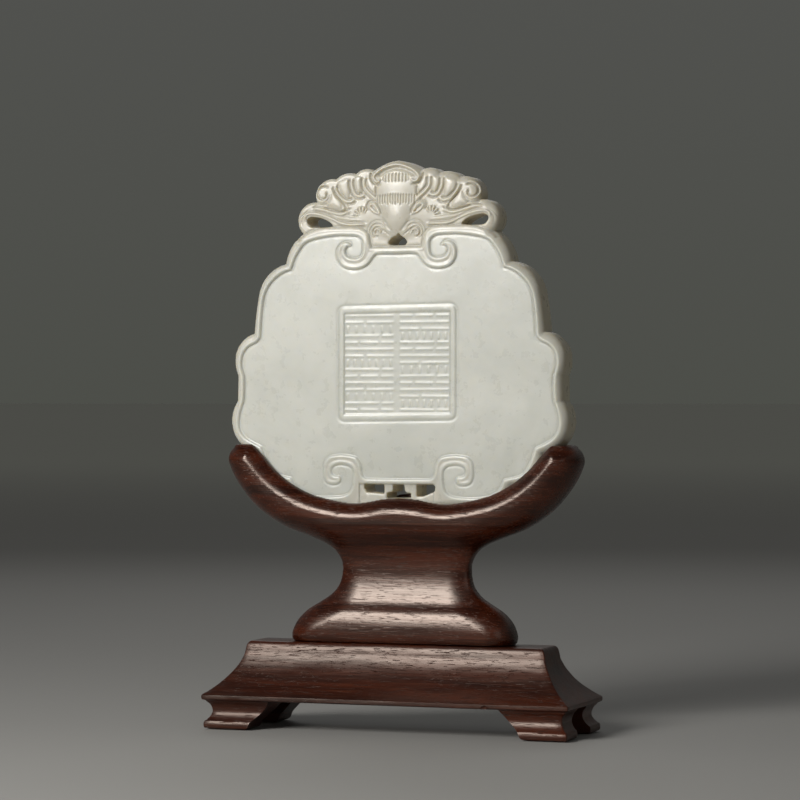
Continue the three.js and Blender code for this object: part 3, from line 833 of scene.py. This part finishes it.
def cradle():
    """The crescent with its two horns and the waisted pedestal under it, rounded all round."""
    side = smooth_curve(CRADLE_SIDE[1:])
    side = np.vstack([CRADLE_SIDE[:1], side])
    crest = smooth_curve(CREST)

    def half(sign):
        outer = np.column_stack([sign * side[:, 0] + place_at(MIDDLE, side[:, 1]), side[:, 1]])
        inner = np.column_stack([sign * crest[:, 0] + CREST_MIDDLE, crest[:, 1]])
        return outer, inner

    (right_side, right_crest), (left_side, left_crest) = half(1), half(-1)
    crest_line = np.vstack([right_crest, left_crest[::-1][1:]])
    loop = np.vstack([right_side, right_crest[1:], left_crest[::-1][1:], left_side[::-1][1:]])
    half_span = 40.0  # a little more than the horns' reach
    spacing = 0.17
    xs = graded([(-half_span, half_span, spacing)])
    zs = graded([(FOOT_Z - 0.4, CRADLE_HIGH[2] + 0.4, spacing)])
    relief = Relief(xs, zs)
    edge, foot_x, foot_z = relief.signed(loop, 7.0)

    def distance_to(line, reach):
        window, near, *_ = relief.near(line, reach)
        distance = np.full(relief.x.shape, float(reach))
        distance[window] = near
        return distance

    from_crest = distance_to(crest_line, 14.0)
    flanks = [line[line[:, 1] < HORN_SHOULDER] for line in (right_side, left_side)]
    tops = [line[line[:, 1] > HORN_SHOULDER] for line in (right_side, left_side)]
    belly = np.minimum(*[distance_to(line, 7.0) for line in flanks])
    above = np.minimum(*[distance_to(line, 7.0) for line in tops])

    slope = SEAT_LIP + LIP_STEEPNESS * from_crest
    face = CRADLE_HALF_DEPTH - 0.02 - 0.010 * np.clip(from_crest - 2, 0, None) ** 2
    crescent = soft_min(slope, face, 2.2)
    pedestal = place_at(PEDESTAL_DEPTH, relief.z)
    depth = pedestal + (crescent - pedestal) * smooth_step(relief.z, 39.5, 45.5)
    depth = np.where(relief.z > 39.5, np.minimum(depth, crescent), depth)
    flank_fall = depth - FLANK_EDGE
    top_fall = np.clip(depth - TOP_EDGE, 0.3, 3)

    def quarter_round(distance, reach, fall):
        """How far a surface has dropped at a distance from the edge it rounds over to."""
        inset = 1 - np.clip(distance / reach, 0, 1)
        return fall * (1 - np.sqrt(np.clip(1 - inset**2, 0, None)))

    def front(with_cuts):
        at_flank = quarter_round(with_cuts(belly), FLANK_REACH, with_cuts(flank_fall))
        at_top = quarter_round(with_cuts(above), TOP_REACH, with_cuts(top_fall))
        drop = np.hypot(at_flank, at_top)
        return -np.maximum(with_cuts(depth) - drop, 0.6)

    def back(with_cuts):
        return -front(with_cuts)

    piece = grid_mesh("cradle_carved", relief, edge, foot_x, foot_z, front, back)
    raise_rear_lip(piece)
    ease = piece.modifiers.new("ease", "SMOOTH")
    ease.factor, ease.iterations = 0.5, 3
    cut_away(piece, seat_cutter())
    smooth(thinned(piece, STAND_TRIANGLES), 50)
    piece.data.materials.append(rosewood_material("rosewood_carved", 0.20, 0.035))
    return piece


def raise_rear_lip(piece):
    """The lip behind the stone stands a little higher in the middle than the one in front."""
    mesh = piece.data
    co = np.empty(len(mesh.vertices) * 3, np.float32)
    mesh.vertices.foreach_get("co", co)
    x, y, z = co.reshape(-1, 3).T / MM
    behind = smooth_step(y, 0, 1) * smooth_step(z, 45.0, 48.0) * bell((x - CREST_MIDDLE) / 8)
    co.reshape(-1, 3)[:, 2] += REAR_LIP_RISE * MM * behind
    mesh.vertices.foreach_set("co", co)
    mesh.update()


def prism(name, outline, y_front, y_back):
    """A straight-sided solid from a front-view outline that runs counter-clockwise."""
    count = len(outline)
    mesh = bmesh.new()
    rings = []
    for y in (y_front, y_back):
        rings.append([mesh.verts.new(Vector((x, y, z)) * MM) for x, z in outline])
    mesh.faces.new(rings[0])
    mesh.faces.new(rings[1][::-1])
    for i in range(count):
        j = (i + 1) % count
        mesh.faces.new((rings[0][j], rings[0][i], rings[1][i], rings[1][j]))
    bmesh.ops.recalc_face_normals(mesh, faces=mesh.faces)
    return from_bmesh(name, mesh)


def bezier(start, c1, c2, end, count):
    """Points along a curve that leaves towards c1 and arrives from c2."""
    t = np.linspace(0, 1, count)[:, None]
    start, c1, c2, end = (np.array(p, float) for p in (start, c1, c2, end))
    return (1 - t) ** 3 * start + 3 * t * (1 - t) ** 2 * c1 + 3 * t**2 * (1 - t) * c2 + t**3 * end


def seat_cutter():
    """The curved groove that the stone drops into."""
    clearance = 0.1
    floor = bezier((0, 45.4), (20, 45), (31, 45.2), (36.6, 59.8), 40)
    outline = both_ways(np.vstack([floor, [(36.6, 70)]]))
    half = PLAQUE_HALF_THICK + clearance
    return prism("seat_cutter", outline, -half, half)


# ---- The board and its bracket feet ----
LIP = BASE_HIGH[:2]  # half length and half depth at the lip
LIP_LOW = 6.15  # height of the lip's under edge
GAP_TOP = 6.0
FRONT_GAP = (30.3, 25.0)  # half widths of the cut between the feet: at the table, and at its top
END_GAP = (5.0, 3.0)
CUT_REACH = 50  # the cuts run out past every side of the board
CHIP_AT = 22.3  # a small nick in the front of the lip


def board_profile():
    """(inset from the lip, height) from the table up."""
    feet = [(1.1, 0), (0.55, 0.12), (0.38, 0.5), (0.38, 1.2), (0.55, 1.6), (0.85, 1.8)]
    hollow = [(0.85, 1.8), (1.35, 2.4), (1.75, 3.2), (1.8, 4.0), (1.5, 4.9), (0.9, 5.6)]
    cavetto = smooth_curve(hollow, 0.35)
    lip = [(0.75, 5.85), (0.15, 6.1), (0.03, 6.25), (0.0, 6.6), (0.04, 7.0), (0.25, 7.2)]
    ogee = bezier((0.25, 7.2), (3.7, 9.4), (6.2, 12.8), (7.0, 15.5), 22)
    shoulder = bezier((7.0, 15.5), (7.2, 16.8), (7.3, 17.8), (8.1, BOARD_TOP), 9)
    return [*feet, *cavetto[1:], *lip, *ogee[1:], *shoulder[1:], (8.6, BOARD_TOP)]


def board_ring(inset, z):
    """A rectangle with barely rounded corners, closely divided along its sides."""
    half_x, half_y = LIP[0] - inset, LIP[1] - inset
    corner = 0.22
    ring = []
    for sx, sy, start in ((1, 1, 0), (-1, 1, 90), (-1, -1, 180), (1, -1, 270)):
        for k in range(4):
            angle = math.radians(start + 30 * k)
            x = sx * (half_x - corner) + corner * math.cos(angle)
            y = sy * (half_y - corner) + corner * math.sin(angle)
            ring.append(Vector((x, y, z)))
    points = []
    for i, here in enumerate(ring):
        after = ring[(i + 1) % len(ring)]
        stretch = (after - here).length
        count = (64 if abs(after.y - here.y) < 0.01 else 22) if stretch > 1 else 1
        points += [here.lerp(after, k / count) for k in range(count)]
    return points


WEAR_SEED = 1  # the noise library is seeded by the clock unless it is given a seed


def worn(point):
    """The slight unevenness that hand planing and handling leave, in millimetres."""
    soft = noise.noise_vector(Vector((point.x * 0.09, point.y * 0.2, point.z * 0.35)))
    fine = noise.noise_vector(Vector((point.x * 0.5, point.y * 0.9, point.z * 1.1 + 9)))
    return Vector((0, soft.y, soft.z)) * 0.07 + fine * 0.03


def within_lip(point):
    """The point, or the closest one that doesn't stand out past the lip."""
    x, y = (max(-most, min(most, value)) for most, value in zip(LIP, point))
    return Vector((x, y, point.z))


def board():
    """The moulded board with its four bracket feet and the nick in its lip."""
    noise.seed_set(WEAR_SEED)
    mesh = bmesh.new()
    rings = []
    for inset, z in board_profile():
        ring = board_ring(float(inset), float(z))
        wear = min(1.0, z / 2)
        uneven = [within_lip(p + worn(p) * wear) for p in ring]
        rings.append([mesh.verts.new(p * MM) for p in uneven])
    count = len(rings[0])
    for low, high in zip(rings, rings[1:]):
        for i in range(count):
            j = (i + 1) % count
            mesh.faces.new((low[i], low[j], high[j], high[i]))
    mesh.faces.new(rings[0][::-1])
    mesh.faces.new(rings[-1])
    bmesh.ops.recalc_face_normals(mesh, faces=mesh.faces)
    piece = from_bmesh("board_moulded", mesh)
    across = prism("feet_gap", gap_outline(*FRONT_GAP), -CUT_REACH, CUT_REACH)
    along = prism("end_gap", gap_outline(*END_GAP), -CUT_REACH, CUT_REACH)
    along.rotation_euler.z = math.radians(90)
    bpy.context.view_layer.update()
    cut_away(piece, across, along, lip_chip())
    smooth(thinned(piece, STAND_TRIANGLES), 32)
    piece.data.materials.append(rosewood_material("rosewood_board", 0.30, 0.09))
    return piece


def gap_outline(foot, crown):
    """The opening between two feet, narrowing in a curve from the table to its top."""
    rise = foot - crown
    right = [(foot + rise * 0.9, -1), (foot, 0), (foot - rise * 0.22, 1.6), (foot - rise * 0.55, 3.2)]
    right += [(foot - rise * 0.8, 4.6), (crown, GAP_TOP)]
    curve = smooth_curve(right, 0.3)
    return np.vstack([curve, flipped(curve, -1)[::-1]])


def lip_chip():
    """An uneven lump that is cut out of the lip."""
    mesh = bmesh.new()
    bmesh.ops.create_icosphere(mesh, subdivisions=2, radius=1)
    for vertex in mesh.verts:
        wobble = 1 + 0.25 * noise.noise(vertex.co * 2.1)
        x, y, z = vertex.co * wobble
        y_mm = -LIP[1] - 0.15 + 0.5 * y
        vertex.co = Vector((CHIP_AT + 0.75 * x, y_mm, LIP_LOW + 0.1 + 0.75 * z)) * MM
    return from_bmesh("lip_chip", mesh)


# ---- Materials ----
class Nodes:
    """Short ways to add and wire the nodes of one material."""

    def __init__(self, name):
        self.material = bpy.data.materials.new(name)
        self.material.use_nodes = True
        self.tree = self.material.node_tree
        self.shader = self.tree.nodes["Principled BSDF"]

    def wire(self, value, socket):
        if isinstance(value, bpy.types.NodeSocket):
            self.tree.links.new(value, socket)
        else:
            socket.default_value = value

    def add(self, kind, output=0, settings=None, **inputs):
        """Adds a node whose inputs are given by number (i0, i1), and gives one of its outputs."""
        node = self.tree.nodes.new(kind)
        for key, value in (settings or {}).items():
            setattr(node, key, value)
        for key, value in inputs.items():
            self.wire(value, node.inputs[int(key[1:])])
        return node.outputs[output]

    def math(self, operation, a, b=0.0):
        return self.add("ShaderNodeMath", settings={"operation": operation}, i0=a, i1=b)

    def fit(self, value, low, high, to_low=0.0, to_high=1.0):
        """Turns the low to high range smoothly into another one."""
        node = self.tree.nodes.new("ShaderNodeMapRange")
        node.interpolation_type = "SMOOTHSTEP"
        for key, number in zip(range(5), (value, low, high, to_low, to_high)):
            self.wire(number, node.inputs[key])
        return node.outputs[0]

    def mix(self, share, a, b):
        node = self.tree.nodes.new("ShaderNodeMix")
        node.data_type = "RGBA"
        for key, value in ((0, share), (6, a), (7, b)):
            self.wire(value, node.inputs[key])
        return node.outputs[2]

    def place(self, scale):
        """Position on the object in millimetres, stretched by the scale."""
        coords = self.tree.nodes.new("ShaderNodeTexCoord").outputs["Object"]
        return self.add("ShaderNodeMapping", i0=coords, i3=[1000 * s for s in scale])

    def noise(self, scale, detail, rough, warp=0.0):
        node = self.tree.nodes.new("ShaderNodeTexNoise")
        self.wire(self.place(scale), node.inputs["Vector"])
        values = {"Scale": 1.0, "Detail": detail, "Roughness": rough, "Distortion": warp}
        for key, value in values.items():
            node.inputs[key].default_value = value
        return node.outputs["Fac"]

    def facing(self):
        """0 where a surface faces the front or the back, 1 on the side walls."""
        normal = self.tree.nodes.new("ShaderNodeNewGeometry").outputs["Normal"]
        y = self.add("ShaderNodeSeparateXYZ", 1, i0=normal)
        return self.math("SUBTRACT", 1.0, self.math("ABSOLUTE", y))

    def bump(self, height, strength, distance_mm, below=None):
        node = self.tree.nodes.new("ShaderNodeBump")
        node.inputs["Strength"].default_value = strength
        node.inputs["Distance"].default_value = distance_mm * MM
        self.wire(height, node.inputs["Height"])
        if below is not None:
            self.wire(below, node.inputs["Normal"])
        return node.outputs["Normal"]


JADE_GREY = (0.495, 0.505, 0.455, 1)
JADE_MILK = (0.575, 0.58, 0.525, 1)
JADE_WISP = (0.66, 0.66, 0.61, 1)
JADE_CREAM = (0.535, 0.505, 0.425, 1)  # on the rim and the bat
JADE_HONEY = (0.70, 0.62, 0.43, 1)  # on the side walls
# Painted shade, laid into the grooves.
JADE_SHADED = (0.40, 0.365, 0.28, 1)  # in grooves
# Painted highlight, laid onto the ridges.
JADE_RIDGE_HIGHLIGHT = (0.76, 0.74, 0.67, 1)  # on ridges


def jade_material():
    """Pale celadon-white nephrite: waxy, translucent, cloudy inside and honey-toned at its edges, with
    painted shade in its grooves and a painted highlight on its ridges.
    """
    n = Nodes("white_jade")
    cloud = n.noise((0.045, 0.2, 0.05), 5, 0.6, 0.6)
    wisp = n.noise((0.35, 0.35, 0.55), 4, 0.6, 1.2)
    body = n.mix(n.fit(cloud, 0.35, 0.68), JADE_GREY, JADE_MILK)
    body = n.mix(n.fit(wisp, 0.58, 0.9, 0, 0.16), body, JADE_WISP)
    warm = n.add("ShaderNodeAttribute", 2, settings={"attribute_name": "warm"})
    body = n.mix(warm, body, JADE_CREAM)
    wall = n.fit(n.facing(), 0.25, 0.95, 0, 0.6)
    body = n.mix(wall, body, JADE_HONEY)
    hollow = n.add("ShaderNodeAttribute", 2, settings={"attribute_name": "hollow"})
    # Painted shade in the grooves and a painted highlight on the ridges, from how far each point lies
    # below or above the heights around it.
    body = n.mix(n.fit(hollow, 0.02, 0.28, 0, 0.4), body, JADE_SHADED)
    body = n.mix(n.fit(hollow, -0.03, -0.24, 0, 0.3), body, JADE_RIDGE_HIGHLIGHT)
    n.wire(body, n.shader.inputs["Base Color"])
    polish = n.noise((0.5, 0.5, 0.5), 3, 0.6)
    n.wire(n.fit(polish, 0.3, 0.7, 0.26, 0.36), n.shader.inputs["Roughness"])
    skin = n.bump(n.noise((1.1, 1.1, 1.1), 5, 0.6), 0.12, 0.05)
    n.wire(n.bump(n.noise((0.16, 0.16, 0.16), 2, 0.5), 0.35, 0.12, skin), n.shader.inputs["Normal"])
    n.shader.inputs["IOR"].default_value = 1.61
    n.shader.inputs["Subsurface Weight"].default_value = 0.75
    n.shader.inputs["Subsurface Radius"].default_value = (1.0, 0.85, 0.6)
    n.shader.inputs["Subsurface Scale"].default_value = 1.3 * MM
    return n.material


WOOD_DARK = (0.012, 0.0016, 0.0004, 1)
WOOD_RED = (0.060, 0.0098, 0.0019, 1)
WOOD_FIBRE = (0.095, 0.022, 0.0058, 1)
WOOD_PORE = (0.004, 0.001, 0.0005, 1)
WOOD_SHEEN = (1.0, 0.84, 0.74, 1)


def rosewood_material(name, rough_low, pore_depth):
    """Dark red rosewood with its grain along the board, fine open pores and a hand-rubbed polish."""
    n = Nodes(name)
    streak = n.noise((0.018, 0.22, 0.34), 5, 0.6, 0.4)
    fine = n.noise((0.10, 1.6, 2.4), 5, 0.65, 0.15)
    pores = n.noise((0.40, 4.4, 5.6), 2, 0.5, 0.0)
    colour = n.mix(n.fit(streak, 0.3, 0.75), WOOD_DARK, WOOD_RED)
    colour = n.mix(n.fit(fine, 0.45, 0.75, 0, 0.4), colour, WOOD_FIBRE)
    open_pore = n.math("MULTIPLY", n.fit(pores, 0.60, 0.68), n.fit(streak, 0.38, 0.6, 0.15, 1.0))
    colour = n.mix(n.math("MULTIPLY", open_pore, 0.7), colour, WOOD_PORE)
    n.wire(colour, n.shader.inputs["Base Color"])
    rough = n.fit(fine, 0.3, 0.75, rough_low, rough_low + 0.1)
    rough = n.math("ADD", rough, n.math("MULTIPLY", open_pore, 0.25))
    n.wire(rough, n.shader.inputs["Roughness"])
    n.shader.inputs["Specular Tint"].default_value = WOOD_SHEEN
    grain = n.bump(fine, 0.3, 0.05)
    grain = n.bump(n.math("MULTIPLY", open_pore, -1.0), 0.8, pore_depth, grain)
    wave = n.bump(n.noise((0.05, 0.25, 0.35), 3, 0.5), 0.3, 0.3, grain)
    n.wire(wave, n.shader.inputs["Normal"])
    n.shader.inputs["IOR"].default_value = 1.58
    return n.material


FLOOR_PALE = (0.33, 0.325, 0.31, 1)
FLOOR_PALER = (0.35, 0.345, 0.33, 1)
# Painted light: the floor's colour far away, where no lamp reaches.
FLOOR_FAR_PAINTED_LIGHT = (0.64, 0.65, 0.58, 1)
FLOOR_SIZE = 80  # metres: wide enough to reach the horizon
FLOOR_DROP = 0.0002  # metres below the feet


def floor_material():
    """A plain floor, painted paler far away where no lamp reaches: painted light that makes it meet the
    surround.
    """
    n = Nodes("pale_floor")
    tone = n.noise((0.004, 0.004, 0.004), 2, 0.5)
    near = n.mix(tone, FLOOR_PALE, FLOOR_PALER)
    away = n.add("ShaderNodeVectorMath", 1, settings={"operation": "LENGTH"}, i0=n.place((1, 1, 1)))
    # Painted light: the colour grows paler with distance from the stand.
    n.wire(n.mix(n.fit(away, 500, 3000), near, FLOOR_FAR_PAINTED_LIGHT), n.shader.inputs["Base Color"])
    n.shader.inputs["Roughness"].default_value = 0.75
    return n.material


# ---- Floor, lights and camera ----
def floor():
    bpy.ops.mesh.primitive_plane_add(size=FLOOR_SIZE, location=(0, 0, -FLOOR_DROP))
    piece = bpy.context.object
    piece.name = "floor"
    piece.data.materials.append(floor_material())


STAGE_MIDDLE = (0, 0, 0.06)  # metres: the point that every lamp faces


def softbox(name, at, size, watts, colour=(1, 1, 1)):
    light = bpy.data.lights.new(name, "AREA")
    light.shape, light.size, light.size_y = "RECTANGLE", size[0], size[1]
    light.energy, light.color = watts, colour
    lamp = in_scene(name, light)
    lamp.location = at
    aim = Vector(STAGE_MIDDLE) - Vector(at)
    lamp.rotation_euler = aim.to_track_quat("-Z", "Y").to_euler()


def studio():
    """A softbox to the left of the front and above it, a weak fill to the right, a weak one behind,
    and a dim surround that is brightest half way up."""
    softbox("key", at=(-0.17, -0.465, 0.262), size=(0.19, 0.26), watts=2.55, colour=(1.0, 0.98, 0.95))
    softbox("fill", at=(0.42, -0.50, 0.22), size=(0.30, 0.30), watts=0.14)
    softbox("rear", at=(-0.20, 0.50, 0.42), size=(0.40, 0.25), watts=0.3)
    world = bpy.data.worlds.new("studio")
    bpy.context.scene.world = world
    world.use_nodes = True
    tree = world.node_tree
    background = tree.nodes["Background"]
    upwards = tree.nodes.new("ShaderNodeSeparateXYZ")
    ramp = tree.nodes.new("ShaderNodeValToRGB")
    tree.links.new(tree.nodes.new("ShaderNodeTexCoord").outputs["Generated"], upwards.inputs[0])
    tree.links.new(upwards.outputs[2], ramp.inputs[0])
    tree.links.new(ramp.outputs[0], background.inputs[0])
    ramp.color_ramp.elements[0].color = (0.074, 0.077, 0.067, 1)
    ramp.color_ramp.elements[1].color = (0.05, 0.05, 0.048, 1)
    for height, grey in ((0.25, 0.09), (0.45, 0.17), (0.6, 0.15), (0.8, 0.07)):
        ramp.color_ramp.elements.new(height).color = (grey, grey, grey * 0.97, 1)
    bpy.context.scene.view_settings.view_transform = "Standard"


CAMERA_TURN = math.radians(19.86)  # how far round to the right the camera stands
CAMERA_AWAY = 0.6658  # metres
CAMERA_HEIGHT = 0.06888
LENS, SENSOR = 143.86, 36  # millimetres
SHIFT_X, SHIFT_Y = -0.0016, -0.0017


def camera():
    data = bpy.data.cameras.new("camera")
    data.lens, data.sensor_width = LENS, SENSOR
    data.shift_x, data.shift_y = SHIFT_X, SHIFT_Y
    eye = in_scene("camera", data)
    across, back = CAMERA_AWAY * math.sin(CAMERA_TURN), CAMERA_AWAY * math.cos(CAMERA_TURN)
    eye.location = (across, -back, CAMERA_HEIGHT)
    eye.rotation_euler = (math.radians(90), 0, CAMERA_TURN)
    bpy.context.scene.camera = eye


# ---- Everything together ----
camera()
floor()
studio()
for make, node, slot in (
    (plaque, "jade_plaque", "jade"),
    (cradle, "cradle", "rosewood"),
    (board, "base", "rosewood"),
):
    piece = make()
    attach(piece, "root")
    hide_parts(node)
